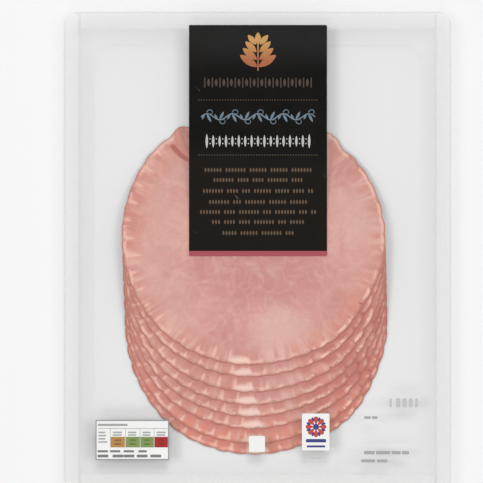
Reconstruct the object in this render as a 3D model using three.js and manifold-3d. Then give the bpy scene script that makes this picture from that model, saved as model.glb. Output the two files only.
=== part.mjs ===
// A flat retail pack of cured ham: eight round slices fanned in a shallow clear tray,
// shut by a clear lid film that carries a dark label and three small printed fields.
// Sizes are millimetres. +X is the pack's right side, +Y its head end and +Z up.
// The origin is under the middle of the pack, on the surface that it lies on.

import * as THREE from 'three';
import { mergeVertices } from 'three/addons/utils/BufferGeometryUtils.js';
import Module from 'manifold-3d';

const wasm = await Module();
wasm.setup();

// Pack
const packWidth = 193.5;
const packLength = 240;
const packCornerRadius = 7;
const flangeTop = 16;
const plasticThickness = 0.6;

// Tray hollow, which sits a little nearer to the foot end than to the head end
const mouthWidth = 178;
const mouthLength = 223;
const mouthCornerRadius = 16;
const mouthShift = -1.2;
const mouthRounding = 1;
const wallDraft = 5;
const floorCornerRadius = 12;
const floorRounding = 3;
const turnSegments = 40;
const roundingSegments = 3;

// Ham slices, counted from the lowest
const sliceThickness = 1.7;
const sliceGap = 0.2;
const slicePitch = sliceThickness + sliceGap;
const sliceSteps = [5.5, 7.5, 6.25, 6, 6.5, 7.75, 6];
const lowestSliceX = -0.25;
const lowestSliceY = -42.5;
const sliceDriftX = -0.29;
const lowestSliceTurn = 3.5;
const sliceTurnStep = -1;

// Outline of one slice: its radius at equal angles, from +X round by +Y
const sliceRadii = [
  66.2, 67.6, 67.5, 64.5, 61.2, 64.8, 69.4, 68,
  66.1, 64.2, 63, 61.2, 60.1, 60.3, 62.7, 63.3,
];
const nettingLobes = 44;
const nettingLobeDepth = 0.6;
const pointsPerLobe = 4;

// Sag of the fan past the lowest slice, which is where its own edge lets the rest down
const sagMargin = 0.8;
const sagBend = 8;
const sagRings = [0, 2.5, 5, 8, 20, 34, 54];
const sagTurns = 72;

// Lid film and what lies on it
const filmThickness = 0.2;
const layerGap = 0.05;
const labelThickness = 0.2;
const printThickness = 0.1;
const plateCornerRadius = 0.6;
const plateCornerSteps = 3;
const label = { width: 69, length: 115.5, x: 0.25, y: 55.55 };
const nutritionPanel = { width: 36.75, length: 20, x: -62.6, y: -94.2 };
const markPanel = { width: 13.75, length: 18.5, x: 29.1, y: -90.2 };
const blankPatch = { width: 8, length: 8, x: -0.25, y: -96.2 };

// Finishes
const clearPlastic = { color: 0xe9e9e9, roughness: 0.12, metalness: 0 };
const hamPink = { color: 0xd59c92, roughness: 0.45, metalness: 0 };
const labelBlack = { color: 0x1c1b19, roughness: 0.5, metalness: 0 };
const printWhite = { color: 0xf2f2f0, roughness: 0.5, metalness: 0 };

// Joins the equal corners of a geometry and drops the flat triangles at its poles.
function closedSurface(geometry) {
  geometry.deleteAttribute('normal');
  geometry.deleteAttribute('uv');
  const merged = mergeVertices(geometry);
  const corners = Array.from(merged.index.array);
  const kept = [];
  for (let first = 0; first < corners.length; first += 3) {
    const [a, b, c] = corners.slice(first, first + 3);
    if (a !== b && b !== c && c !== a) {
      kept.push(a, b, c);
    }
  }
  merged.setIndex(kept);
  merged.clearGroups();
  return merged;
}

function toSolid(geometry) {
  const surface = closedSurface(geometry);
  const mesh = new wasm.Mesh({
    numProp: 3,
    vertProperties: Float32Array.from(surface.attributes.position.array),
    triVerts: Uint32Array.from(surface.index.array),
  });
  return new wasm.Manifold(mesh);
}

function toGeometry(solid) {
  const mesh = solid.getMesh();
  const geometry = new THREE.BufferGeometry();
  geometry.setAttribute('position', new THREE.BufferAttribute(mesh.vertProperties, 3));
  geometry.setIndex(new THREE.BufferAttribute(mesh.triVerts, 1));
  return geometry;
}

function makeMesh(name, geometry, finish) {
  const mesh = new THREE.Mesh(geometry, new THREE.MeshStandardMaterial(finish));
  mesh.name = name;
  return mesh;
}

// One level of a body whose levels are rounded rectangles. All the tray's levels
// but the flange are centred on the hollow.
function level(height, width, length, radius, shift = mouthShift) {
  return { height, width, length, radius, shift };
}

// A closed body through rounded rectangles. It is turned as on a lathe, and then its
// four quarters are drawn apart, so that the steps over each axis become straight sides.
function roundedBody(levels) {
  const profile = levels.map((ring) => new THREE.Vector2(ring.radius, ring.height));
  const turnStep = (2 * Math.PI) / turnSegments;
  const geometry = new THREE.LatheGeometry(profile, turnSegments, turnStep / 2);
  const position = geometry.attributes.position;
  for (let index = 0; index < position.count; index += 1) {
    const ring = levels[index % levels.length];
    const turn = Math.floor(index / levels.length);
    const across = Math.cos((turn + 0.5) * turnStep);
    const along = Math.sin((turn + 0.5) * turnStep);
    position.setXYZ(
      index,
      ring.radius * across + Math.sign(across) * (ring.width / 2 - ring.radius),
      ring.radius * along + Math.sign(along) * (ring.length / 2 - ring.radius) + ring.shift,
      ring.height,
    );
  }
  return closedSurface(geometry);
}

// The levels of one face of the hollow, from the middle of its floor up to its mouth.
// grown is how far this face lies outside the inner face.
function hollowLevels(floorHeight, mouthHeight, grown) {
  const levels = [level(floorHeight, 0, 0, 0)];
  for (let step = 0; step <= roundingSegments; step += 1) {
    const angle = (step / roundingSegments) * (Math.PI / 2);
    const inset = wallDraft + floorRounding * (1 - Math.sin(angle)) - grown;
    levels.push(level(
      floorHeight + floorRounding * (1 - Math.cos(angle)),
      mouthWidth - 2 * inset,
      mouthLength - 2 * inset,
      floorCornerRadius - floorRounding * (1 - Math.sin(angle)) + grown,
    ));
  }
  for (let step = 0; step <= roundingSegments; step += 1) {
    const angle = (step / roundingSegments) * (Math.PI / 2);
    const outset = mouthRounding * (1 - Math.cos(angle)) + grown;
    levels.push(level(
      mouthHeight - mouthRounding * (1 - Math.sin(angle)),
      mouthWidth + 2 * outset,
      mouthLength + 2 * outset,
      mouthCornerRadius + outset,
    ));
  }
  return levels;
}

function makeTray() {
  const flangeUnderside = flangeTop - plasticThickness;
  const outer = hollowLevels(0, flangeUnderside, plasticThickness);
  const inner = hollowLevels(plasticThickness, flangeTop, 0);
  const rim = [
    level(flangeUnderside, packWidth, packLength, packCornerRadius, 0),
    level(flangeTop, packWidth, packLength, packCornerRadius, 0),
  ];
  const geometry = roundedBody([...outer, ...rim, ...inner.reverse()]);
  return makeMesh('tray', geometry, clearPlastic);
}

// Where slice number index lies: its middle and its turn in the fan.
function slicePlace(index) {
  const climbed = sliceSteps.slice(0, index).reduce((sum, step) => sum + step, 0);
  return {
    x: lowestSliceX + index * sliceDriftX,
    y: lowestSliceY + climbed,
    turn: THREE.MathUtils.degToRad(lowestSliceTurn + index * sliceTurnStep),
  };
}

// The slice's radius at an angle, as a smooth curve through the given radii. The curve
// runs one radius past both ends of the round, so that it closes without a kink.
function makeRadiusCurve() {
  const count = sliceRadii.length;
  const orders = [...Array(count + 3).keys()].map((order) => order - 1);
  return new THREE.SplineCurve(
    orders.map((order) => new THREE.Vector2(order, sliceRadii.at(order % count))),
  );
}

const radiusCurve = makeRadiusCurve();

function sliceRadius(angle) {
  const share = THREE.MathUtils.euclideanModulo(angle / (2 * Math.PI), 1);
  const order = 1 + share * sliceRadii.length;
  return radiusCurve.getPoint(order / (radiusCurve.points.length - 1)).y;
}

// The outline of slice number index. The netting left a lobe in each of its meshes.
function sliceOutline(index) {
  const place = slicePlace(index);
  const pointCount = nettingLobes * pointsPerLobe;
  return [...Array(pointCount).keys()].map((count) => {
    const angle = (count / pointCount) * 2 * Math.PI;
    const crease = 1 - Math.abs(Math.sin((count / pointsPerLobe) * Math.PI));
    const radius = sliceRadius(angle) - nettingLobeDepth * crease;
    return new THREE.Vector2(
      place.x + radius * Math.cos(angle + place.turn),
      place.y + radius * Math.sin(angle + place.turn),
    );
  });
}

// How far a point lies past the lowest slice's edge, along a ray from that slice's
// middle, and less where the sheet starts to bend.
function bentReach(point) {
  const place = slicePlace(0);
  const ray = new THREE.Vector2(point.x - place.x, point.y - place.y);
  const reach = ray.length() - sliceRadius(ray.angle() - place.turn) - sagMargin;
  if (reach <= 0) {
    return 0;
  }
  return reach < sagBend ? reach ** 2 / (2 * sagBend) : reach - sagBend / 2;
}

// The steepest sag at which no slice comes lower than the lowest one.
function steepestSag() {
  const slopes = sliceSteps.map((_, below) => {
    const reaches = sliceOutline(below + 1).map(bentReach);
    return ((below + 1) * slicePitch) / Math.max(...reaches);
  });
  return Math.min(...slopes);
}

// A sheet of ham over the whole fan: flat as far as the lowest slice reaches, and sagging
// past its edge. All the slices are cut from it, so each lies on the one below.
function saggingSheet() {
  const slope = steepestSag();
  const place = slicePlace(0);
  const underside = plasticThickness + sliceGap;
  const top = underside + sliceThickness;
  const levels = [
    { onSheet: 0, reach: 0, height: underside },
    ...sagRings.map((reach) => ({ onSheet: 1, reach, height: underside })),
    ...sagRings.toReversed().map((reach) => ({ onSheet: 1, reach, height: top })),
    { onSheet: 0, reach: 0, height: top },
  ];
  const profile = levels.map((ring) => new THREE.Vector2(ring.onSheet, ring.height));
  const sheet = new THREE.LatheGeometry(profile, sagTurns);
  const position = sheet.attributes.position;
  for (let index = 0; index < position.count; index += 1) {
    const ring = levels[index % levels.length];
    const angle = (Math.floor(index / levels.length) / sagTurns) * 2 * Math.PI;
    const edge = sliceRadius(angle - place.turn) + sagMargin;
    const radius = ring.onSheet * (edge + ring.reach);
    const point = new THREE.Vector2(
      place.x + radius * Math.cos(angle),
      place.y + radius * Math.sin(angle),
    );
    position.setXYZ(index, point.x, point.y, ring.height - slope * bentReach(point));
  }
  return toSolid(sheet);
}

function makeHamSlices() {
  const sheet = saggingSheet();
  return [...Array(sliceSteps.length + 1).keys()].map((index) => {
    const depth = 3 * flangeTop;
    const shape = new THREE.Shape(sliceOutline(index));
    const prism = new THREE.ExtrudeGeometry(shape, { depth, bevelEnabled: false });
    prism.translate(0, 0, -depth / 2);
    const slice = sheet.translate(0, 0, index * slicePitch).intersect(toSolid(prism));
    return makeMesh(`ham_slice_${index + 1}`, toGeometry(slice), hamPink);
  });
}

function roundedRectangle(width, length, radius) {
  const right = width / 2 - radius;
  const head = length / 2 - radius;
  const shape = new THREE.Shape();
  shape.absarc(right, head, radius, 0, Math.PI / 2);
  shape.absarc(-right, head, radius, Math.PI / 2, Math.PI);
  shape.absarc(-right, -head, radius, Math.PI, 1.5 * Math.PI);
  shape.absarc(right, -head, radius, 1.5 * Math.PI, 2 * Math.PI);
  return shape;
}

// A flat plate with rounded corners, lying at the given height.
function makePlate(name, outline, radius, thickness, height, finish) {
  const shape = roundedRectangle(outline.width, outline.length, radius);
  const options = { depth: thickness, bevelEnabled: false, curveSegments: plateCornerSteps };
  const geometry = new THREE.ExtrudeGeometry(shape, options);
  geometry.translate(outline.x, outline.y, height);
  return makeMesh(name, closedSurface(geometry), finish);
}

function makeLid() {
  const filmHeight = flangeTop + layerGap;
  const printHeight = filmHeight + filmThickness + layerGap;
  const film = { width: packWidth, length: packLength, x: 0, y: 0 };
  const corner = plateCornerRadius;
  return [
    makePlate('lid_film', film, packCornerRadius, filmThickness, filmHeight, clearPlastic),
    makePlate('label', label, corner, labelThickness, printHeight, labelBlack),
    makePlate('nutrition_panel', nutritionPanel, corner, printThickness, printHeight, printWhite),
    makePlate('mark_panel', markPanel, corner, printThickness, printHeight, printWhite),
    makePlate('blank_patch', blankPatch, corner, printThickness, printHeight, printWhite),
  ];
}

const hamPack = new THREE.Group();
hamPack.add(makeTray(), ...makeHamSlices(), ...makeLid());

export default hamPack;
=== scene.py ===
import math
import random
import bmesh
import bpy
from mathutils import Matrix, Vector, noise


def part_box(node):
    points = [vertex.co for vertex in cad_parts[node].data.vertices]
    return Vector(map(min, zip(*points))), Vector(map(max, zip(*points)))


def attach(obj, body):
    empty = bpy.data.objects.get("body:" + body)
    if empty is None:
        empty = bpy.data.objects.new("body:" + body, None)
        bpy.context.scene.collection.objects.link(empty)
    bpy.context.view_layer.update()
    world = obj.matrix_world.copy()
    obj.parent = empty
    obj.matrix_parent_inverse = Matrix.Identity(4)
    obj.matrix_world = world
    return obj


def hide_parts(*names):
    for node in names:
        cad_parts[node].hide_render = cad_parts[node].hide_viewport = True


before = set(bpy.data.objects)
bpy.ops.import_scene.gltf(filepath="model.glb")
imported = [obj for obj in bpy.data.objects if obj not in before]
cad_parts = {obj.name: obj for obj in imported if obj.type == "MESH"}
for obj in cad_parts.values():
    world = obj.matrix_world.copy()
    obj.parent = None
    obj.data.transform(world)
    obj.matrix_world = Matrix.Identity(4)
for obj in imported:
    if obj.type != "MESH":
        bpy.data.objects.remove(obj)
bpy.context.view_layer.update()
print("frame loaded:", len(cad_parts), "solids")

mm = 0.001  # pieces are modelled in millimetres and scaled down once they are done


class Wire:
    # an output socket that can be added, multiplied and so on
    def __init__(self, finish, socket):
        self.finish = finish
        self.socket = socket

    def calculate(self, operation, *others):
        values = dict(enumerate((self,) + others))
        return self.finish.node("Math", {"operation": operation}, values)

    def __add__(self, other):
        return self.calculate("ADD", other)

    def __sub__(self, other):
        return self.calculate("SUBTRACT", other)

    def __rsub__(self, other):
        return self.finish.node("Math", {"operation": "SUBTRACT"}, {0: other, 1: self})

    def __mul__(self, other):
        return self.calculate("MULTIPLY", other)

    def __truediv__(self, other):
        return self.calculate("DIVIDE", other)

    def __pow__(self, other):
        return self.calculate("POWER", other)

    def __neg__(self):
        return self * -1

    def __abs__(self):
        return self.calculate("ABSOLUTE")

    __radd__ = __add__
    __rmul__ = __mul__


def tone(red, green, blue):
    # a colour as a paint program shows it, 0 to 255, made linear
    levels = [((v / 255 + 0.055) / 1.055) ** 2.4 if v > 10 else v / 3295 for v in (red, green, blue)]
    return (*levels, 1)


def darker(colour, share):
    return (*(share * v for v in colour[:3]), 1)


class Finish:
    # one procedural material
    def __init__(self, name):
        self.material = bpy.data.materials.new(name)
        self.material.use_nodes = True
        self.tree = self.material.node_tree
        self.tree.nodes.clear()

    def node(self, kind, settings=None, values=None, out=0):
        made = self.tree.nodes.new("ShaderNode" + kind)
        for name, value in (settings or {}).items():
            setattr(made, name, value)
        for name, value in (values or {}).items():
            if isinstance(value, Wire):
                self.tree.links.new(value.socket, made.inputs[name])
            else:
                made.inputs[name].default_value = value
        return Wire(self, made.outputs[out])

    def attribute(self, name, out="Vector"):
        return self.node("Attribute", {"attribute_name": name}, out=out)

    def parts(self, vector):
        split = self.node("SeparateXYZ", values={0: vector}).socket.node
        return [Wire(self, socket) for socket in split.outputs]

    def place(self):
        # object coordinates in millimetres
        here = self.node("TexCoord", out="Object")
        return self.node("VectorMath", {"operation": "SCALE"}, {0: here, "Scale": 1 / mm})

    def noise(self, vector, size, detail=3.0, roughness=0.5, distortion=0.0):
        return self.node("TexNoise", values={
            "Vector": vector, "Scale": 1 / size, "Detail": detail,
            "Roughness": roughness, "Distortion": distortion})

    def rise(self, value, low, high):
        # 0 below low, 1 above high, smooth between
        settings = {"interpolation_type": "SMOOTHSTEP"}
        return self.node("MapRange", settings, {"Value": value, "From Min": low, "From Max": high})

    def blend(self, first, second, share):
        settings = {"data_type": "RGBA"}
        return self.node("Mix", settings, {0: share, 6: first, 7: second}, out=2)

    def bump(self, height, depth, strength=1.0):
        return self.node("Bump", values={"Height": height, "Distance": depth * mm, "Strength": strength})

    def show(self, shader):
        output = self.tree.nodes.new("ShaderNodeOutputMaterial")
        self.tree.links.new(shader.socket, output.inputs[0])
        return self.material

    def principled(self, **values):
        named = {name.replace("_", " "): value for name, value in values.items()}
        return self.show(self.node("BsdfPrincipled", values=named))


def asPiece(name, bm, finish, replaced=(), smoothAngle=None):
    # a mesh in millimetres becomes an object with one finish
    bmesh.ops.scale(bm, vec=(mm, mm, mm), verts=bm.verts)
    mesh = bpy.data.meshes.new(name)
    bm.to_mesh(mesh)
    bm.free()
    mesh.materials.append(finish)
    if smoothAngle:
        mesh.shade_smooth()
        mesh.set_sharp_from_angle(angle=math.radians(smoothAngle))
    piece = bpy.data.objects.new(name, mesh)
    bpy.context.scene.collection.objects.link(piece)
    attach(piece, "root")
    if replaced:
        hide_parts(*replaced)


def blendValue(low, high, share):
    return low + (high - low) * share


def ease(value, low, high):
    # 0 below low, 1 above high, smooth between
    share = min(max((value - low) / (high - low), 0), 1)
    return share * share * (3 - 2 * share)


ham = dict(
    count=8, thickness=1.7, pitch=1.9, underside=0.8,
    steps=(5.5, 7.5, 6.25, 6, 6.5, 7.75, 6), lowest=(-0.25, -42.5), drift=-0.29,
    turn=3.5, turnStep=-1,
    radii=(66.2, 67.6, 67.5, 64.5, 61.2, 64.8, 69.4, 68,
           66.1, 64.2, 63, 61.2, 60.1, 60.3, 62.7, 63.3),
    nominal=60,  # the section is drawn at this radius, then fitted to the outline
    ringStep=3, ringEnd=45, underEnd=57,  # rings this far apart keep the sagging slices off each other
    rimRings=(0.83, 0.86, 0.885, 0.91, 0.932, 0.952, 0.97, 0.985, 1),  # shares of the flat top
    edgeSlope=2.0, edgeSteps=8, edgeHeight=0.3,
    foot=((0.12, 0.08), (0.35, 0)),  # how far in from the rim, and how high
    sagMargin=0.8, sagBend=8,
    lobes=44, stepsPerLobe=12, lobeDepth=0.6, lobeEven=0.9, lobeUneven=0.6, rimRough=0.2,
    creaseDepth=0.42, ruffle=0.4, ruffleWidth=6, wave=0.09, waveSize=5,
    bareFrom=0.4, bareTo=3, topBare=9,  # how far out from the slice above; the top slice counts as topBare
    edgeSettle=0.13, settleWidth=3,
    floor=0.65, ceiling=15.98,  # just over the tray and just under the lid film
    notch=266.9, notchWidth=6.1, notchDepth=5.2,
    corners=((58, 3.4, 8), (125, 2.8, 7)),  # the top slice stands out here: degrees, how far, half width
    tuckZone=(-30, 36), tuckWidth=2.2, tuckDepth=0.9,
    tuck=((-43.4, 47.6), (-39.4, 43.4), (-34.5, 40.6)),
    pleatWidth=4, pleatHeight=1.1,
    pleat=((-42.5, 57.5), (-38.6, 47.6), (-34.4, 43.2)),
)


def slicePlace(index):
    middle = Vector((ham["lowest"][0] + index * ham["drift"], ham["lowest"][1] + sum(ham["steps"][:index])))
    return middle, math.radians(ham["turn"] + index * ham["turnStep"])


slicePlaces = [slicePlace(index) for index in range(ham["count"])]


def sliceRadius(angle):
    # a smooth curve through the radii of the outline
    radii = ham["radii"]
    order = angle / math.tau % 1 * len(radii)
    first = int(order)
    share = order - first
    a, b, c, d = (radii[(first + k) % len(radii)] for k in (-1, 0, 1, 2))
    bend = 2 * a - 5 * b + 4 * c - d + share * (3 * (b - c) + d - a)
    return b + 0.5 * share * (c - a + share * bend)


def roundNoise(angle, size, seed):
    # noise that closes round a slice
    return noise.noise(Vector((math.cos(angle) * size, math.sin(angle) * size, seed)))


def crease(angle):
    # 1 between two lobes of the netting, 0 in the middle of a lobe
    return 1 - abs(math.sin(angle * ham["lobes"] / 2))


def outside(point, index):
    # how far a point lies outside a slice's outline
    middle, turn = slicePlaces[index]
    ray = point - middle
    return ray.length - sliceRadius(math.atan2(ray.y, ray.x) - turn)


def bentReach(point):
    # how far a point lies out over the edge of the lowest slice, with a soft start
    reach = outside(point, 0) - ham["sagMargin"]
    if reach <= 0:
        return 0
    bend = ham["sagBend"]
    return reach ** 2 / (2 * bend) if reach < bend else reach - bend / 2


def steepestSag():
    # the steepest slope at which no slice sags below the level of the lowest
    slopes = []
    for index in range(1, ham["count"]):
        middle, turn = slicePlaces[index]
        reaches = []
        for step in range(ham["lobes"] * 4):
            angle = step / (ham["lobes"] * 4) * math.tau
            radius = sliceRadius(angle) - ham["lobeDepth"] * crease(angle)
            reaches.append(bentReach(middle + Matrix.Rotation(angle + turn, 2) @ Vector((radius, 0))))
        slopes.append(index * ham["pitch"] / max(reaches))
    return min(slopes)


def netting():
    # how far each crease runs in from the rim and how strong it is: longest on the left and lower left
    draw = random.Random(7)
    creases = []
    for number in range(ham["lobes"]):
        angle = number / ham["lobes"] * 360
        left = ease(angle, 110, 150) * (1 - ease(angle, 258, 290))
        right = ease(angle, 286, 300) * (1 - ease(angle, 338, 352))
        reach = blendValue(draw.uniform(1.5, 4), draw.uniform(6, 12), left) + right * draw.uniform(1, 3)
        strength = blendValue(draw.uniform(0.1, 0.6), draw.uniform(0.55, 1), max(left, right))
        creases.append((reach, strength))
    return creases


def near(point, path, width):
    # 1 on a path, 0 from its width on, fading out toward both ends
    best = 0
    for a, b in zip(path, path[1:]):
        a, b = Vector(a), Vector(b)
        share = min(max((point - a).dot(b - a) / (b - a).length_squared, 0), 1)
        away = (point - a.lerp(b, share)).length
        best = max(best, 1 - ease(away, 0, width))
    return best


def hamProfile(bm):
    # half a section, from the middle of the top out to the rim, which slopes, and back
    half = ham["thickness"] / 2
    nominal, slope = ham["nominal"], ham["edgeSlope"]
    flat = nominal - slope
    points = [(radius, half) for radius in range(0, ham["ringEnd"] + 1, ham["ringStep"])]
    points += [(flat * ring, half) for ring in ham["rimRings"]]
    for step in range(1, ham["edgeSteps"] + 1):
        share = (step / ham["edgeSteps"]) ** 0.8
        points.append((flat + slope * share, half - (2 * half - ham["edgeHeight"]) * share ** 1.9))
    points += [(nominal - inset, height - half) for inset, height in ham["foot"]]
    points += [(radius, -half) for radius in range(ham["underEnd"], -1, -ham["ringStep"])]
    verts = [bm.verts.new((x, 0, z)) for x, z in points]
    edges = [bm.edges.new(pair) for pair in zip(verts, verts[1:])]
    return verts + edges


def plainSlice():
    # the round that every slice starts from
    bm = bmesh.new()
    bmesh.ops.spin(
        bm, geom=hamProfile(bm), cent=(0, 0, 0), axis=(0, 0, 1), dvec=(0, 0, 0),
        angle=math.tau, steps=ham["lobes"] * ham["stepsPerLobe"], use_merge=True,
        use_normal_flip=False, use_duplicate=False)
    bmesh.ops.remove_doubles(bm, verts=bm.verts, dist=0.0001)
    bmesh.ops.recalc_face_normals(bm, faces=bm.faces)
    return bm


def sliceRim(angle, index):
    # the outline, drawn in by the net's creases, a little rough, with the corners of the top slice
    deep = ham["lobeDepth"] * (ham["lobeEven"] + ham["lobeUneven"] * roundNoise(angle, 4, 9))
    rim = sliceRadius(angle) - deep * crease(angle) + ham["rimRough"] * roundNoise(angle, 30, index * 2.3)
    for degrees, out, width in ham["corners"] if index == ham["count"] - 1 else ():
        rim += out * (1 - ease(abs(math.degrees(angle) - degrees), 0, width))
    return rim


def creaseRun(angle, inset, index, creases):
    # how strong the nearest crease still is this far in from the rim
    number = round(angle / math.tau * ham["lobes"]) % ham["lobes"]
    reach, strength = creases[number]
    reach *= 0.85 + 0.3 * noise.noise(Vector((number, index, 0.5)))
    return (1 - ease(inset, 0.35 * reach, reach)) * strength


def makeSlice(plain, index, slope, creases, finish):
    bm = plain.copy()
    plan = bm.verts.layers.float_vector.new("plan")
    marks = bm.verts.layers.float_vector.new("marks")
    cover = bm.verts.layers.float.new("cover")
    fold = bm.verts.layers.float_vector.new("fold")
    top = index == ham["count"] - 1
    middle, turn = slicePlaces[index]
    turned = Matrix.Rotation(turn, 2)
    half = ham["thickness"] / 2
    nominal, edge = ham["nominal"], ham["edgeSlope"]
    flat = nominal - edge
    for vert in bm.verts:
        angle = math.atan2(vert.co.y, vert.co.x) % math.tau
        far = math.hypot(vert.co.x, vert.co.y)
        rim = sliceRim(angle, index)
        radius = rim - (nominal - far) if far > flat else far / flat * (rim - edge)
        inset = rim - radius
        own = Vector((radius * math.cos(angle), radius * math.sin(angle)))
        here = middle + turned @ own
        lobe = crease(angle)
        run = creaseRun(angle, inset, index, creases)
        streak = lobe ** 3.2 * run
        up = (vert.co.z + half) / ham["thickness"]
        base = ham["underside"] + half + index * ham["pitch"] - slope * bentReach(here)
        # the rim ruffles where no slice lies on it, and settles on the slice below
        bare = ham["topBare"] if top else outside(here, index + 1)
        exposed = ease(bare, ham["bareFrom"], ham["bareTo"])
        beside = 1 - ease(inset, 0.5, ham["ruffleWidth"])
        wave = noise.noise(Vector((own.x, own.y, index * 9)) / ham["waveSize"])
        lift = ham["ruffle"] * exposed * run * (1 - lobe) ** 2 * beside * up
        lift += ham["wave"] * exposed * wave * up
        sink = ham["creaseDepth"] * streak * up
        settle = ham["edgeSettle"] * (1 - ease(inset, 0, ham["settleWidth"])) * (index > 0)
        if top and own.x < ham["tuckZone"][0] and own.y > ham["tuckZone"][1]:
            tucked = near(own, ham["tuck"], ham["tuckWidth"])
            raised = near(own, ham["pleat"], ham["pleatWidth"])
            vert[fold] = Vector((tucked, raised, 0))
            lift += (ham["pleatHeight"] * raised - ham["tuckDepth"] * tucked) * up
        lowest = ham["floor"] + up * ham["thickness"]
        height = max(base + vert.co.z + lift - sink - settle, lowest)
        vert.co = Vector((here.x, here.y, min(height, ham["ceiling"])))
        vert[plan] = Vector((own.x, own.y, index * ham["pitch"]))
        vert[marks] = Vector((streak, inset, up))
        vert[cover] = bare
    asPiece(f"ham_{index + 1}", bm, finish, [f"ham_slice_{index + 1}"], smoothAngle=60)


hamTones = dict(
    deep=tone(195, 122, 114), lean=tone(211, 147, 135), pale=tone(219, 171, 160),
    vein=tone(239, 185, 168), rim=tone(251, 202, 184), skin=tone(204, 108, 84), warm=tone(211, 132, 114),
    shadeRed=tone(176, 70, 52), fat=tone(247, 219, 205), blush=tone(222, 128, 98),
)

# how large each kind of marking is, in millimetres
hamGrain = dict(cloud=34, mottle=8, grain=1.3, wisp=20, waver=13, fibre=3.6, block=6.5, sheenPatch=6)

# broad muscles of the round: middle, half sizes, tone and how much of it
muscles = (
    (6, -13, 34, 15, "deep", 0.6), (14, -44, 18, 14, "pale", 0.95), (-46, 6, 15, 30, "pale", 0.4),
    (-38, -32, 18, 16, "pale", 0.3), (50, 16, 12, 20, "pale", 0.7), (46, -32, 12, 13, "deep", 0.5),
    (-64, 18, 8, 30, "warm", 0.8), (-14, 40, 30, 20, "pale", 0.4), (-6, -48, 14, 8, "deep", 0.3),
    (-52, 42, 9, 12, "warm", 0.5), (30, 50, 14, 10, "vein", 0.4),
)

rimFat = ((-51, 49), (41, 57))  # middles of the two patches of fat on the rim


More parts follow.
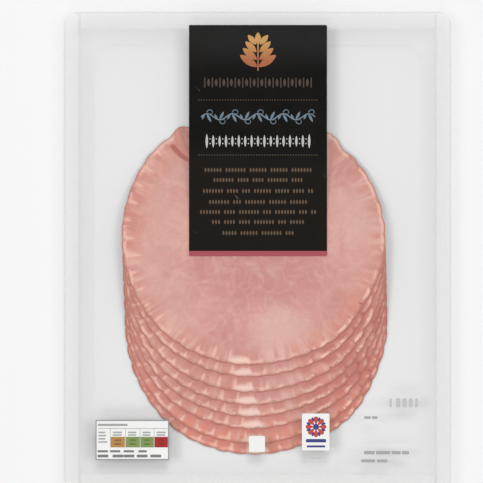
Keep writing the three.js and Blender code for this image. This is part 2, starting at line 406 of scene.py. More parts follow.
def hamFinish():
    finish = Finish("cured ham")
    plan = finish.attribute("plan")
    streak, inset, up = finish.parts(finish.attribute("marks"))
    tucked, raised = finish.parts(finish.attribute("fold"))[:2]
    bare = finish.attribute("cover", "Fac")
    x, y, cut = finish.parts(plan)
    # muscle: broad patches with wavering borders, a finer mottle, grain and a few pale wisps
    cloud = finish.rise(finish.noise(plan, hamGrain["cloud"], 3, 0.5, 0.8), 0.34, 0.62)
    mottle = finish.rise(finish.noise(plan, hamGrain["mottle"], 4, 0.56, 1.3), 0.44, 0.7)
    grain = finish.noise(plan, hamGrain["grain"], 4, 0.65)
    wisp = 1 - finish.rise(abs(finish.noise(plan, hamGrain["wisp"], 2.5, 0.5, 1.8) - 0.5), 0.0, 0.07)
    waver = finish.noise(plan, hamGrain["waver"], 4, 0.62, 1.2) - 0.5
    colour = finish.blend(hamTones["deep"], hamTones["lean"], cloud * 0.45 + 0.55)
    for middleX, middleY, halfX, halfY, shade, share in muscles:
        away = ((x - middleX) / halfX) ** 2 + ((y - middleY) / halfY) ** 2
        patch = 1 - finish.rise(away + waver * 3.6, 0.1, 1.9)
        colour = finish.blend(colour, hamTones[shade], patch * share)
    colour = finish.blend(colour, hamTones["pale"], mottle * 0.45)
    colour = finish.blend(colour, hamTones["vein"], wisp * 0.16)
    colour = finish.blend(colour, hamTones["deep"], finish.rise(grain, 0.5, 0.76) * 0.3)
    # fibres that run in from the rim, and the warmer zone beside it
    flat = finish.node("CombineXYZ", values={0: x, 1: y, 2: 0.0})
    around = finish.node("VectorMath", {"operation": "NORMALIZE"}, {0: flat})
    aroundX, aroundY = finish.parts(around)[:2]
    right = finish.rise(aroundX, 0.3, 0.62) * finish.rise(-aroundY, 0.1, 0.35)
    # this place changes along the rim and hardly at all inward, so what it draws runs in from the rim
    run = finish.node("CombineXYZ", values={0: aroundX * 62, 1: aroundY * 62, 2: inset * 0.14 + cut})
    fibres = finish.noise(run, hamGrain["fibre"], 3, 0.6)
    rimZone = 1 - finish.rise(inset, 3, 12)
    blocks = finish.noise(run, hamGrain["block"], 1, 0.4)
    colour = finish.blend(colour, hamTones["deep"], finish.rise(blocks, 0.46, 0.62) * rimZone * 0.5)
    colour = finish.blend(colour, hamTones["pale"], (1 - finish.rise(blocks, 0.34, 0.46)) * rimZone * 0.5)
    colour = finish.blend(colour, hamTones["warm"], finish.rise(fibres, 0.44, 0.6) * rimZone * 0.55)
    colour = finish.blend(colour, hamTones["vein"], (1 - finish.rise(fibres, 0.36, 0.48)) * rimZone * 0.4)
    low = (1 - finish.rise(cut, 0.5, 6)) * 0.95 + right * (1 - finish.rise(inset, 5, 14)) * 0.3
    colour = finish.blend(colour, hamTones["blush"], low * finish.rise(fibres, 0.25, 0.6))
    # painted shadow: deeper beside the edge of the slice above, stronger to the right of the middle
    shadeStrength = finish.rise(x, 8, 36) * finish.rise(-y, -10, 15) * (0.45 + finish.rise(cut, 1, 6) * 0.55)
    shadeReach = finish.rise(blocks, 0.4, 0.6) * (shadeStrength + 0.5)
    colour = finish.blend(colour, hamTones["deep"], (1 - finish.rise(bare - shadeReach, 1.0, 5.0)) * 0.36)
    # the net's creases: pale on the left and at the foot; on the right, painted shade darkens them
    colour = finish.blend(colour, hamTones["vein"], finish.rise(streak, 0.02, 0.5) * (1 - right) * 0.85)
    colour = finish.blend(colour, hamTones["shadeRed"], finish.rise(streak, 0.1, 0.7) * right * 0.5)
    # the fat notch at the foot of the round, and fat left on the rim
    angle = math.radians(ham["notch"])
    across = (x * -math.sin(angle) + y * math.cos(angle) + waver * 3) / ham["notchWidth"]
    fat = 1 - finish.rise(across ** 2 + (inset / ham["notchDepth"]) ** 2 + waver * 1.5, 0.35, 1.25)
    fat = fat * finish.rise(-y, 10, 20)
    colour = finish.blend(colour, hamTones["fat"], fat * (0.95 - finish.rise(inset, 1, 4.5) * 0.35))
    for middleX, middleY in rimFat:
        away = ((x - middleX) / 10) ** 2 + ((y - middleY) / 8) ** 2
        edge = 1 - finish.rise(inset, 0.6, 3.2)
        colour = finish.blend(colour, hamTones["fat"], (1 - finish.rise(away, 0.3, 1.2)) * edge * 0.6)
    # the rim, paler and with a painted highlight, the cut side under it, and painted shade at the foot of the
    # next slice's side
    patchy = finish.rise(finish.noise(plan, hamGrain["sheenPatch"], 3, 0.6), 0.44, 0.6)
    bright = finish.rise(inset, 0.3, 1.0) * (1 - finish.rise(inset, 1.5, 3.0))
    colour = finish.blend(colour, hamTones["rim"], bright * patchy * (0.75 + right * 0.2))
    colour = finish.blend(hamTones["skin"], colour, finish.rise(up, 0.1, 0.9))
    # painted contact shadow where this slice runs under the rim of the slice above
    stepShade = 1 - finish.rise(bare - shadeReach, 0.0, 2.6)
    colour = finish.blend(colour, hamTones["shadeRed"], stepShade * (shadeStrength * 0.28 + 0.26))
    # the tuck at the head of the top slice; the dark in the tuck is painted shade in its crease
    colour = finish.blend(colour, hamTones["warm"], finish.rise(raised, 0.05, 0.7) * 0.8)
    colour = finish.blend(colour, hamTones["shadeRed"], finish.rise(tucked, 0.2, 0.8) * 0.85)
    return finish.principled(
        Base_Color=colour, Roughness=0.4 + grain * 0.2,
        Normal=finish.bump(grain + mottle * 0.5, 0.16, 0.6),
        Subsurface_Weight=0.3, Subsurface_Radius=(1.0, 0.45, 0.3), Subsurface_Scale=1.6 * mm,
        Specular_IOR_Level=0.3)


hamMaterial = hamFinish()
sagSlope = steepestSag()
creases = netting()
plain = plainSlice()
for index in range(ham["count"]):
    makeSlice(plain, index, sagSlope, creases, hamMaterial)
plain.free()
print("ham sliced, sag", round(sagSlope, 3))


tray = dict(
    width=193.5, length=240, corner=7, flangeTop=16, wall=0.6, rimMargin=0.6, mouthMargin=0.5,
    mouthWidth=178, mouthLength=223, mouthCorner=16, shift=-1.2, mouthRound=1,
    draft=5, floorCorner=12, floorRound=3, floorMargin=1, cornerSteps=12, roundSteps=5,
)


def fromMouth(out, corner, height):
    # one round of the tray, as far out from the mouth as out says
    return tray["mouthWidth"] + 2 * out, tray["mouthLength"] + 2 * out, corner, height, tray["shift"]


def trayLevels():
    # width, length, corner radius, height and shift of each round, from the rim in to the floor
    top, steps = tray["flangeTop"], tray["roundSteps"]
    flat = [(tray["width"] - 2 * inset, tray["length"] - 2 * inset, tray["corner"] - inset, top, 0)
            for inset in (0, tray["rimMargin"])]
    grown = tray["mouthRound"] + tray["mouthMargin"]
    flat.append(fromMouth(grown, tray["mouthCorner"] + grown, top))
    mouth, foot = [], []
    for step in range(steps + 1):
        turn = math.pi / 2 * (1 - step / steps)
        out = tray["mouthRound"] * (1 - math.cos(turn))
        drop = tray["mouthRound"] * (1 - math.sin(turn))
        mouth.append(fromMouth(out, tray["mouthCorner"] + out, top - drop))
        turn = math.pi / 2 - turn
        tuck = tray["floorRound"] * (1 - math.cos(turn))
        height = tray["wall"] + tray["floorRound"] * (1 - math.sin(turn))
        foot.append(fromMouth(-tray["draft"] - tuck, tray["floorCorner"] - tuck, height))
    tuck = tray["floorRound"] + tray["floorMargin"]
    floor = fromMouth(-tray["draft"] - tuck, tray["floorCorner"] - tuck, tray["wall"])
    return flat + mouth + foot + [floor]


def cornerMiddle(point, level):
    width, length, radius, height, shift = level
    return Vector((math.copysign(width / 2 - radius, point.x),
                   math.copysign(length / 2 - radius, point.y) + shift, height))


def addRectangle(bm, width, length, middle, corner, steps):
    # a flat rectangle with round corners
    verts = bmesh.ops.create_grid(bm, x_segments=1, y_segments=1, size=0.5)["verts"]
    bmesh.ops.scale(bm, vec=(width, length, 1), verts=verts)
    bmesh.ops.translate(bm, vec=middle, verts=verts)
    bmesh.ops.bevel(bm, geom=verts, offset=corner, offset_type="OFFSET", affect="VERTICES",
                    segments=steps, profile=0.5, material=-1)


def makeTray(finish):
    bm = bmesh.new()
    levels = trayLevels()
    width, length, radius, height = levels[0][:4]
    addRectangle(bm, width, length, (0, 0, height), radius, tray["cornerSteps"])
    edges = bm.edges[:]
    bmesh.ops.delete(bm, geom=bm.faces[:], context="FACES_ONLY")
    for upper, lower in zip(levels, levels[1:]):
        made = bmesh.ops.extrude_edge_only(bm, edges=edges)["geom"]
        edges = [part for part in made if isinstance(part, bmesh.types.BMEdge)]
        for vert in [part for part in made if isinstance(part, bmesh.types.BMVert)]:
            arm = (vert.co - cornerMiddle(vert.co, upper)).normalized()
            vert.co = cornerMiddle(vert.co, lower) + arm * lower[2]
    bmesh.ops.contextual_create(bm, geom=edges)
    bmesh.ops.recalc_face_normals(bm, faces=bm.faces)
    floor = max(bm.faces, key=lambda face: face.calc_area())
    if floor.normal.z < 0:
        bmesh.ops.reverse_faces(bm, faces=bm.faces)
    bmesh.ops.solidify(bm, geom=bm.faces[:], thickness=tray["wall"])
    asPiece("clear_tray", bm, finish, ["tray"], smoothAngle=35)


# the sealed border of the film is milkier; a greyer line beside the mouth and one round the rim are painted
# shade of the tray's side walls and rim edge
seal = dict(
    start=0.3, fade=0.8, lineIn=0.6, lineOut=1.4, rim=1.4, rimFade=1,
    bandHaze=0.14, lineHaze=0.05, band=tone(244, 246, 244), line=tone(212, 215, 213), lineShare=0.8,
)


def clearFinish(name, colour, haze, wallHaze, glare, tint, sealed=False):
    # clear plastic: mostly a look through, with a share of milky skin that grows on the steep walls
    finish = Finish(name)
    here = finish.place()
    steep = 1 - abs(finish.parts(finish.node("NewGeometry", out="Normal"))[2])
    share = haze + finish.noise(here, 40, 2) * 0.005 + steep ** 2 * wallHaze
    if sealed:
        x, y = [abs(part) for part in finish.parts(here)[:2]]

        def beyond(edgeX, edgeY, fade):
            # 1 outside this rectangle, 0 inside it
            pastX, pastY = finish.rise(x, edgeX, edgeX + fade), finish.rise(y, edgeY, edgeY + fade)
            return pastX.calculate("MAXIMUM", pastY)

        inX, inY = tray["mouthWidth"] / 2 - seal["start"], tray["mouthLength"] / 2 - seal["start"]
        outX, outY = tray["width"] / 2 - seal["rim"], tray["length"] / 2 - seal["rim"]
        band = beyond(inX, inY, seal["fade"])
        inner = finish.rise(x, inX - seal["lineIn"], inX)
        inner = inner * (1 - finish.rise(x, inX + seal["lineIn"], inX + seal["lineOut"]))
        # painted shade over the tray's side walls and round the rim edge
        edgeShade = inner.calculate("MAXIMUM", beyond(outX, outY, seal["rimFade"]))
        share = share + band * seal["bandHaze"] + edgeShade * seal["lineHaze"]
        colour = finish.blend(colour, seal["band"], band)
        colour = finish.blend(colour, seal["line"], edgeShade * seal["lineShare"])
    share = share + finish.node("LayerWeight", values={"Blend": 0.5}, out="Facing") ** 4 * glare
    clear = finish.node("BsdfTransparent", values={"Color": (tint, tint, tint, 1)})
    skin = finish.node("BsdfPrincipled", values={
        "Base Color": colour, "Roughness": 0.14, "Specular IOR Level": 1.0})
    return finish.show(finish.node("MixShader", values={0: share, 1: clear, 2: skin}))


makeTray(clearFinish(
    "clear tray plastic", tone(246, 248, 246), haze=0.008, wallHaze=0.02, glare=0.03, tint=0.998))
print("tray moulded")


film = dict(
    underside=16.05, thickness=0.2, cell=2.0, ripple=0.05, border=14,
    waves=((26, 40, 1, 3), (9, 16, 0.4, 8)),  # how wide, how long, how strong, and where in the noise
)


def cornerMove(x, y, halfWidth, halfLength, radius):
    # draws the grid's square corners in to round ones
    a = (abs(x) - (halfWidth - radius)) / radius
    b = (abs(y) - (halfLength - radius)) / radius
    if a <= 0 or b <= 0:
        return x, y
    size = max(a, b)
    angle = math.pi / 4 * (b / a if a >= b else 2 - a / b)
    return (math.copysign(halfWidth - radius + radius * size * math.cos(angle), x),
            math.copysign(halfLength - radius + radius * size * math.sin(angle), y))


def makeFilm(finish):
    # a fine grid in the outline of the rim, rippled over the mouth
    bm = bmesh.new()
    across, along = round(tray["width"] / film["cell"]), round(tray["length"] / film["cell"])
    bmesh.ops.create_grid(bm, x_segments=across, y_segments=along, size=0.5)
    for vert in bm.verts:
        x, y = vert.co.x * tray["width"], vert.co.y * tray["length"]
        x, y = cornerMove(x, y, tray["width"] / 2, tray["length"] / 2, tray["corner"])
        free = ease(tray["mouthWidth"] / 2 - abs(x), 0, film["border"])
        free *= ease(tray["mouthLength"] / 2 - abs(y - tray["shift"]), 0, film["border"])
        wave = sum(strong * noise.noise(Vector((x / wide, y / long, where)))
                   for wide, long, strong, where in film["waves"])
        drop = film["ripple"] * free * (0.5 + 0.5 * wave)
        vert.co = Vector((x, y, film["underside"] + film["thickness"] - drop))
    bmesh.ops.recalc_face_normals(bm, faces=bm.faces)
    if bm.faces[0].normal.z < 0:
        bmesh.ops.reverse_faces(bm, faces=bm.faces)
    bmesh.ops.solidify(bm, geom=bm.faces[:], thickness=film["thickness"])
    asPiece("clear_lid", bm, finish, ["lid_film"], smoothAngle=40)


makeFilm(clearFinish(
    "clear lid film", tone(246, 247, 245), haze=0.035, wallHaze=0, glare=0.15, tint=0.997, sealed=True))
print("lid film laid")


def paperFinish(name, colour, roughness):
    finish = Finish(name)
    cloud = finish.noise(finish.place(), 6, 3)
    return finish.principled(Base_Color=finish.blend(colour, darker(colour, 0.86), cloud * 0.6),
                             Roughness=roughness + cloud * 0.08)


labelTones = dict(
    foot=tone(23, 19, 16), rows=tone(10, 10, 9), head=tone(33, 34, 34), worn=tone(31, 26, 22),
    glint=tone(92, 94, 98), stripe=tone(167, 83, 92),
)


def labelFinish():
    finish = Finish("black label")
    here = finish.place()
    x, y = finish.parts(here)[:2]
    cloud = finish.noise(here, 18, 3)
    speck = finish.rise(finish.noise(here, 0.7, 3), 0.55, 0.75)
    # warm black at the foot, plain black behind the rows and greyer at the head
    colour = finish.blend(labelTones["foot"], labelTones["rows"], finish.rise(y, 42, 56))
    colour = finish.blend(colour, labelTones["head"], finish.rise(y, 88, 106))
    colour = finish.blend(colour, labelTones["worn"], finish.rise(cloud, 0.35, 0.7) * 0.35 + speck * 0.25)
    # a few painted glints: pale streaks of reflected light
    slanted = finish.node("CombineXYZ", values={0: (x + y) * 0.7, 1: (y - x) * 0.12, 2: 0.0})
    glintStreak = finish.rise(finish.noise(slanted, 1.4, 2), 0.68, 0.74)
    glintPatch = finish.rise(finish.noise(here, 15, 2), 0.55, 0.66)
    colour = finish.blend(colour, labelTones["glint"], glintStreak * glintPatch * 0.6)
    # the stripe along the foot
    colour = finish.blend(colour, labelTones["stripe"], 1 - finish.rise(y, 0.2, 0.4))
    return finish.principled(
        Base_Color=colour, Roughness=0.5 + cloud * 0.12, Specular_IOR_Level=0.05,
        Normal=finish.bump(finish.noise(here, 0.5, 2), 0.01, 0.4))


def dress(node, finish):
    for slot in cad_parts[node].material_slots:
        slot.material = finish


dress("label", labelFinish())
white = paperFinish("white print", tone(240, 240, 238), 0.5)
for node in ("nutrition_panel", "mark_panel", "blank_patch"):
    dress(node, white)
print("label dressed")


prints = dict(
    thickness=0.03, lift=0.005, overInk=0.032,  # a shape on top of another starts over its ink
    copper=tone(174, 98, 56), gold=tone(198, 152, 87), bronze=tone(72, 57, 43), dimBronze=tone(98, 75, 51),
    iceBlue=tone(109, 130, 145), ivory=tone(194, 194, 191),
    ink=tone(124, 124, 126), grey=tone(168, 168, 169), paleGrey=tone(200, 200, 199),
    amber=tone(186, 138, 72), green=tone(130, 151, 84), red=tone(172, 28, 30),
    deepAmber=tone(148, 98, 48), deepGreen=tone(100, 121, 60), deepRed=tone(140, 20, 24),
    outline=tone(146, 146, 146), rose=tone(200, 72, 66), navy=tone(56, 66, 132), dimInk=tone(174, 173, 174),
)


def addBar(bm, left, right, low, high, corner=0.25):
    corner = min(corner, 0.45 * (right - left), 0.45 * (high - low))
    addRectangle(bm, right - left, high - low, ((left + right) / 2, (low + high) / 2, 0), corner, 2)


def placeShape(bm, verts, length, width, turn, spot, reach=0):
    # gives a shape of radius 1 its size, moves it out by its reach, turns it and sets it down
    bmesh.ops.scale(bm, vec=(length / 2, width / 2, 1), verts=verts)
    bmesh.ops.translate(bm, vec=(reach, 0, 0), verts=verts)
    bmesh.ops.rotate(bm, cent=(0, 0, 0), matrix=Matrix.Rotation(math.radians(turn), 3, "Z"), verts=verts)
    bmesh.ops.translate(bm, vec=spot, verts=verts)


def addLeaf(bm, x, y, length, width, turn, steps=16, z=0):
    # a leaf or lozenge: a disc drawn out to two points
    verts = bmesh.ops.create_circle(bm, cap_ends=True, segments=steps, radius=1)["verts"]
    for vert in verts:
        vert.co.y *= 1 - 0.45 * vert.co.x ** 2
    placeShape(bm, verts, length, width, turn, (x, y, z))


def addDisc(bm, x, y, radius, steps=20, z=0):
    verts = bmesh.ops.create_circle(bm, cap_ends=True, segments=steps, radius=radius)["verts"]
    bmesh.ops.translate(bm, vec=(x, y, z), verts=verts)


def addRibbon(bm, path, widths, z=0):
    # a stroke along a path, drawn on edge by edge
    edge = None
    for number, (point, width) in enumerate(zip(path, widths)):
        before, after = path[max(number - 1, 0)], path[min(number + 1, len(path) - 1)]
        along = (after - before).normalized()
        across = Vector((-along.y, along.x)) * width / 2
        ends = [(*(point + across), z), (*(point - across), z)]
        if edge is None:
            edge = bm.edges.new([bm.verts.new(end) for end in ends])
            continue
        order = list(edge.verts)
        made = bmesh.ops.extrude_edge_only(bm, edges=[edge])["geom"]
        edge = next(part for part in made if isinstance(part, bmesh.types.BMEdge))
        for vert in edge.verts:
            first = (vert.co - order[0].co).length < (vert.co - order[1].co).length
            start = order[0] if first else order[1]
            side = 0 if (start.co.to_2d() - path[number - 1]).dot(across) > 0 else 1
            vert.co = ends[side]


def inkFinish(name, colour, head=None, between=(0, 1)):
    # head is the colour toward the head of the pack
    finish = Finish(name)
    here = finish.place()
    cloud = finish.noise(here, 1.2, 3)
    shade = finish.blend(colour, darker(colour, 0.8), cloud)
    if head:
        share = finish.rise(finish.parts(here)[1], *between) * (0.7 + cloud * 0.3)
        shade = finish.blend(shade, head, share)
    return finish.principled(Base_Color=shade, Roughness=0.4 + cloud * 0.1, Specular_IOR_Level=0.2)


def printOn(name, under, colour, draw, slot="white_print", **fade):
    # flat ink shapes on top of the node under them
    bm = bmesh.new()
    draw(bm)
    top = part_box(under)[1].z / mm + prints["lift"] + prints["thickness"]
    bmesh.ops.translate(bm, vec=(0, 0, top), verts=bm.verts)
    bmesh.ops.recalc_face_normals(bm, faces=bm.faces)
    bmesh.ops.reverse_faces(bm, faces=[face for face in bm.faces if face.normal.z < 0])
    bmesh.ops.solidify(bm, geom=bm.faces[:], thickness=prints["thickness"])
    asPiece(name, bm, inkFinish(name + " ink", prints[colour], **fade))


labelMiddle = 0.25

# the pairs of leaves get shorter, slimmer and steeper toward the head
sprig = dict(
    foot=90.4, head=109.4, stemShort=4, stemWidth=0.7, stemSteps=6,
    pairs=4, first=2.2, pitch=3.9, length=10.4, shorter=1.4, width=3.9, slimmer=0.35, spread=56, steeper=5,
    tipDrop=2.8, tip=(6, 3),
)


def drawSprig(bm):
    # a sprig of paired leaves
    foot, head, steps = sprig["foot"], sprig["head"], sprig["stemSteps"]
    tall = head - foot - sprig["stemShort"]
    stem = [Vector((labelMiddle, foot + tall * step / steps)) for step in range(steps + 1)]
    addRibbon(bm, stem, [sprig["stemWidth"]] * len(stem))
    for pair in range(sprig["pairs"]):
        height = foot + sprig["first"] + pair * sprig["pitch"]
        length = sprig["length"] - pair * sprig["shorter"]
        width = sprig["width"] - sprig["slimmer"] * pair
        for side in (-1, 1):
            turn = 90 - side * (sprig["spread"] - sprig["steeper"] * pair)
            x = labelMiddle + side * (0.5 + length * 0.4)
            addLeaf(bm, x, height + length * 0.26, length, width, turn, z=0.004 * (pair + 1))
    addLeaf(bm, labelMiddle, head - sprig["tipDrop"], *sprig["tip"], 90, z=0.02)


row = dict(low=82.0, high=87.0, count=29, width=53.2, lozenge=(4, 1.5), half=0.3)


def drawRow(bm):
    # slim uprights with lozenges between, as a border
    low, high, last = row["low"], row["high"], row["count"] - 1
    for number in range(row["count"]):
        x = labelMiddle - row["width"] / 2 + number * row["width"] / last
        if number % 2:
            addLeaf(bm, x, (low + high) / 2, *row["lozenge"], 90, 10)
        else:
            addBar(bm, x - row["half"], x + row["half"], low, high, 0.1)


rules = dict(heights=(75.8, 48.3), width=59, count=46, half=(0.3, 0.2))


def drawRules(bm):
    # two dotted rules
    across, along = rules["half"]
    for height in rules["heights"]:
        for number in range(rules["count"]):
            x = labelMiddle + rules["width"] * (number / (rules["count"] - 1) - 0.5)
            addBar(bm, x - across, x + across, height - along, height + along, 0.1)


vine = dict(
    height=67.4, half=28.6, bends=9, sway=1.5, steps=120, width=0.5, wider=0.2,
    leaves=((0.9, 2.1, 4.6, 1.3, 62, 0.004), (-1.9, 1.4, 3.2, 1.1, 115, 0.006)),  # place, size, turn and lift
    curlPlace=(1.6, 0.6), curlSteps=24, curlTurn=4.9, curlSize=1.75, curlTighter=0.13,
    curlWidth=0.44, curlSlimmer=0.01, curlLift=0.008,
)


def vineStem(share):
    sway = vine["sway"] * math.sin(share * math.pi * vine["bends"])
    return Vector((labelMiddle + vine["half"] * (2 * share - 1), vine["height"] + sway))


def drawVine(bm):
    # a swaying stem with two leaves and a curl at each bend
    shares = [step / vine["steps"] for step in range(vine["steps"] + 1)]
    widths = [vine["width"] + vine["wider"] * math.sin(share * math.pi) for share in shares]
    addRibbon(bm, [vineStem(share) for share in shares], widths)
    for bend in range(vine["bends"]):
        start = vineStem((bend + 0.5) / vine["bends"])
        side = 1 if bend % 2 else -1
        for across, along, length, width, turn, lift in vine["leaves"]:
            addLeaf(bm, start.x + across, start.y + side * along, length, width, turn * side, 12, lift)
        path, widths = [], []
        for step in range(vine["curlSteps"] + 1):
            turn = step / vine["curlSteps"] * vine["curlTurn"]
            size = vine["curlSize"] * (1 - vine["curlTighter"] * turn)
            x = start.x + vine["curlPlace"][0] - size * math.cos(turn)
            y = start.y - side * (vine["curlPlace"][1] + size * math.sin(turn))
            path.append(Vector((x, y)))
            widths.append(vine["curlWidth"] - vine["curlSlimmer"] * step)
        addRibbon(bm, path, widths, vine["curlLift"])


band = dict(
    height=55.2, count=17, span=51.2, length=5.4, longer=0.8, endLength=7.2, width=1.3,
    beadPlace=(1.6, 1.15), bead=0.34,
)


def drawBand(bm):
    # a band of upright lozenges with beads between
    height, last = band["height"], band["count"] - 1
    across, along = band["beadPlace"]
    for number in range(band["count"]):
        x = labelMiddle - band["span"] / 2 + number * band["span"] / last
        length = band["endLength"] if number in (0, last) else band["length"] + band["longer"] * (number % 2)
        addLeaf(bm, x, height, length, band["width"], 90, 14)
        if number < last:
            for side in (-1, 1):
                addDisc(bm, x + across, height + side * along, band["bead"], 10)


beads = dict(
    pitch=1.5, size=(2.3, 1.05), group=(3, 7),
    rows=((40.8, 53.5), (35.8, 44.5), (30.3, 55), (24.8, 50), (19.8, 58.5), (14.8, 46.5), (9.3, 36.5)),
)


def drawLines(bm):
    # rows of small upright beads in groups, a gap of one bead between the groups
    draw = random.Random(11)
    pitch = beads["pitch"]
    fewest, most = beads["group"]
    for height, width in beads["rows"]:
        count = round(width / pitch)
        number = 0
        while number < count:
            group = draw.randint(fewest, most)
            if count - number - group < fewest:
                group = count - number
            for bead in range(number, number + group):
                x = labelMiddle + pitch * (bead - (count - 1) / 2)
                addLeaf(bm, x, height, *beads["size"], 90, 10)
            number += group + 1


printOn("label_sprig", "label", "copper", drawSprig, "dark_label", head=prints["gold"], between=(94, 107))
printOn("label_row", "label", "bronze", drawRow, "dark_label")
printOn("label_rules", "label", "dimBronze", drawRules, "dark_label")
printOn("label_vine", "label", "iceBlue", drawVine, "dark_label")
printOn("label_band", "label", "ivory", drawBand, "dark_label")
printOn("label_lines", "label", "dimBronze", drawLines, "dark_label")

table = dict(
    left=-80.97, right=-44.22, low=-104.2, high=-84.2, line=0.5,
    cells=((-73.4, -66.3, "amber"), (-65.8, -58.9, "green"), (-58.5, -51.9, "green"), (-51.5, -44.8, "red")),
    cellLow=-97.9, cellHigh=-92.6, columnHigh=-88.6, cellBars=(-94.3, -96.2), cellBarHalf=0.42,
    headBars=(-90.4, -91.7), sideBars=(-90.4, -92, -93.6, -95.2), greyHalf=0.38,
    darkRows=(  # from, to, and the start and length of each bar
        (3.8, 4.9, ((1, 5.2), (7.2, 5.2), (14, 5.2), (21.4, 4.2))),
        (1.3, 2.7, ((1, 5.4), (8.5, 5.4), (14, 5.4), (20.6, 5.4), (27.4, 5.4))),
    ),
)


def drawOutline(bm):
    left, right, low, high = (table[side] for side in ("left", "right", "low", "high"))
    line = table["line"]
    for a, b in ((low, low + line), (high - line, high)):
        addBar(bm, left, right, a, b, 0.02)
    for a, b in ((left, left + line), (right - line, right)):
        addBar(bm, a, b, low + line, high - line, 0.02)


def drawRuling(bm):
    # the column rules of the small table and the rule above them
    head = table["columnHigh"]
    for cell in table["cells"]:
        addBar(bm, cell[0] - 0.32, cell[0] - 0.1, table["cellLow"], head, 0.02)
    addBar(bm, table["left"] + 1.2, table["right"] - 0.8, head, head + 0.28, 0.02)


def drawGreyBars(bm):
    # the bar at the head, two in each column and four at the side
    draw = random.Random(5)
    left, high, half = table["left"], table["high"], table["greyHalf"]
    addBar(bm, left + 1.2, left + 16, high - 3.0, high - 1.9)
    for cell in table["cells"]:
        for height in table["headBars"]:
            addBar(bm, cell[0] + 1, cell[1] - 1 - draw.uniform(0, 0.8), height - half, height + half)
    for height in table["sideBars"]:
        addBar(bm, left + 1.4, left + 6 - draw.uniform(0, 1.2), height - half, height + half)


def drawDarkBars(bm):
    for foot, head, bars in table["darkRows"]:
        for start, length in bars:
            x = table["left"] + start
            addBar(bm, x, x + length, table["low"] + foot, table["low"] + head)


def cellsOf(shade):
    return [(left, right) for left, right, colour in table["cells"] if colour == shade]


def drawCells(shade):
    def draw(bm):
        for left, right in cellsOf(shade):
            addBar(bm, left, right, table["cellLow"], table["cellHigh"], 0.05)
    return draw


def drawCellBars(shade):
    # two short bars on each field of this colour
    def draw(bm):
        half = table["cellBarHalf"]
        for left, right in cellsOf(shade):
            for height in table["cellBars"]:
                addBar(bm, left + 1.9, right - 1.9, height - half, height + half)
        bmesh.ops.translate(bm, vec=(0, 0, prints["overInk"]), verts=bm.verts)
    return draw


printOn("table_outline", "nutrition_panel", "outline", drawOutline)
printOn("table_ruling", "nutrition_panel", "grey", drawRuling)
printOn("table_grey_bars", "nutrition_panel", "grey", drawGreyBars)
printOn("table_dark_bars", "nutrition_panel", "ink", drawDarkBars)
for shade in ("amber", "green", "red"):
    printOn("table_" + shade, "nutrition_panel", shade, drawCells(shade))
    printOn(f"table_{shade}_bars", "nutrition_panel", "deep" + shade.capitalize(), drawCellBars(shade))

rosette = dict(
    x=29.25, y=-87.6, petals=8, reach=2.9, petal=(4.6, 4.0), eye=1.5, leafReach=4.0, leaf=(2.4, 1.3),
    bars=((24.2, 34.3, -95.4, -93.7, 0.5), (24.6, 33.9, -97.9, -96.9, 0.4)),
)


def drawPetals(bm):
    # each petal widens from the eye to its round end
    for number in range(rosette["petals"]):
        turn = number * 360 / rosette["petals"]
        verts = bmesh.ops.create_circle(bm, cap_ends=True, segments=18, radius=1)["verts"]
        for vert in verts:
            vert.co.y *= 0.45 + 0.4 * vert.co.x
        placeShape(bm, verts, *rosette["petal"], turn, (rosette["x"], rosette["y"], 0), rosette["reach"])


def drawBlue(bm):
    # the eye, a small leaf between two petals, and the two bars under the rosette
    x, y, reach, lift = rosette["x"], rosette["y"], rosette["leafReach"], prints["overInk"]
    addDisc(bm, x, y, rosette["eye"], z=lift)
    for number in range(rosette["petals"]):
        turn = math.radians((number + 0.5) * 360 / rosette["petals"])
        addLeaf(bm, x + reach * math.cos(turn), y + reach * math.sin(turn), *rosette["leaf"],
                math.degrees(turn), 10, lift)
    for bar in rosette["bars"]:
        addBar(bm, *bar)


printOn("rosette_petals", "mark_panel", "rose", drawPetals)
printOn("rosette_blue", "mark_panel", "navy", drawBlue)

# bars that lie bare on the film: left, right, low, high
loose = dict(
    first=66, pitch=3.2, widths=(1.2, 2.3, 2.3, 2.0, 1.4), low=-78.0, high=-73.4,
    thin=((22.6, 35.6, -101.5, -101.1), (26.6, 31.8, -103.6, -103.2)),
    dark=((53.3, 56.6, -83.7, -82.3), (57.2, 60, -83.7, -82.3),
          (53.3, 58.6, -101.4, -99.7), (59.2, 66.4, -101.4, -99.7),
          (67, 71.6, -101.4, -99.7), (72.2, 75.8, -101.4, -99.7),
          (51.8, 58.8, -105.4, -103.9), (59.6, 65, -105.4, -103.9)),
)


def drawLooseGrey(bm):
    # a row of round-ended uprights, and two thin bars
    for number, width in enumerate(loose["widths"]):
        x = loose["first"] + number * loose["pitch"]
        addBar(bm, x, x + width, loose["low"], loose["high"], 0.6)
    for bar in loose["thin"]:
        addBar(bm, *bar, 0.1)


def drawLooseDark(bm):
    for bar in loose["dark"]:
        addBar(bm, *bar)


printOn("film_grey_bars", "lid_film", "paleGrey", drawLooseGrey)
printOn("film_dark_bars", "lid_film", "dimInk", drawLooseDark)
print("printed")


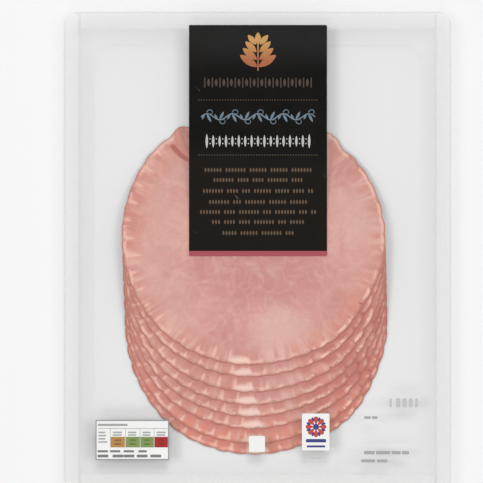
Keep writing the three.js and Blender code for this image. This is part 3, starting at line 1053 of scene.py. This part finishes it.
studio = dict(
    cameraHeight=1.4, aim=(-8.0, 5.05, 16.4), span=241.5, sky=0.265,
    lamps=dict(left=((-0.9, 0.1, 2.6), 19), right=((0.9, 0.1, 2.6), 13.5),
               head=((0.1, 0.98, 2.6), 20), foot=((-0.1, -0.95, 2.6), 9.5)),
    lampSize=0.7, sensor=36, floorDrop=0.0004,
)


def makeFloor():
    bm = bmesh.new()
    bmesh.ops.create_grid(bm, x_segments=8, y_segments=8, size=3)
    bmesh.ops.translate(bm, vec=(0, 0, -studio["floorDrop"]), verts=bm.verts)
    mesh = bpy.data.meshes.new("studio_floor")
    bm.to_mesh(mesh)
    bm.free()
    finish = Finish("studio floor")
    cloud = finish.noise(finish.place(), 600, 2)
    mesh.materials.append(finish.principled(
        Base_Color=finish.blend(tone(243, 243, 244), tone(246, 246, 246), cloud), Roughness=0.9))
    floor = bpy.data.objects.new("studio_floor", mesh)
    bpy.context.scene.collection.objects.link(floor)


def makeLight():
    # a pale sky, and four soft lamps round the camera, where the film doesn't mirror them into it
    world = bpy.data.worlds.new("studio")
    world.use_nodes = True
    background = world.node_tree.nodes["Background"]
    background.inputs["Color"].default_value = (1, 1, 1, 1)
    background.inputs["Strength"].default_value = studio["sky"]
    bpy.context.scene.world = world
    for side, (place, power) in studio["lamps"].items():
        lamp = bpy.data.lights.new(side + "_lamp", "AREA")
        lamp.shape = "SQUARE"
        lamp.size = studio["lampSize"]
        lamp.energy = power
        holder = bpy.data.objects.new(side + "_lamp", lamp)
        holder.location = place
        holder.rotation_euler = (-Vector(place)).to_track_quat("-Z", "Y").to_euler()
        bpy.context.scene.collection.objects.link(holder)


def makeCamera():
    lens = bpy.data.cameras.new("camera")
    lens.sensor_width = studio["sensor"]
    lens.lens = studio["sensor"] * studio["cameraHeight"] / (studio["span"] * mm)
    lens.clip_end = 20
    holder = bpy.data.objects.new("camera", lens)
    aim = Vector(studio["aim"]) * mm
    holder.location = aim + Vector((0, 0, studio["cameraHeight"]))
    bpy.context.scene.collection.objects.link(holder)
    bpy.context.scene.camera = holder
    bpy.context.scene.view_settings.view_transform = "Standard"


makeFloor()
makeLight()
makeCamera()
print("stage set")
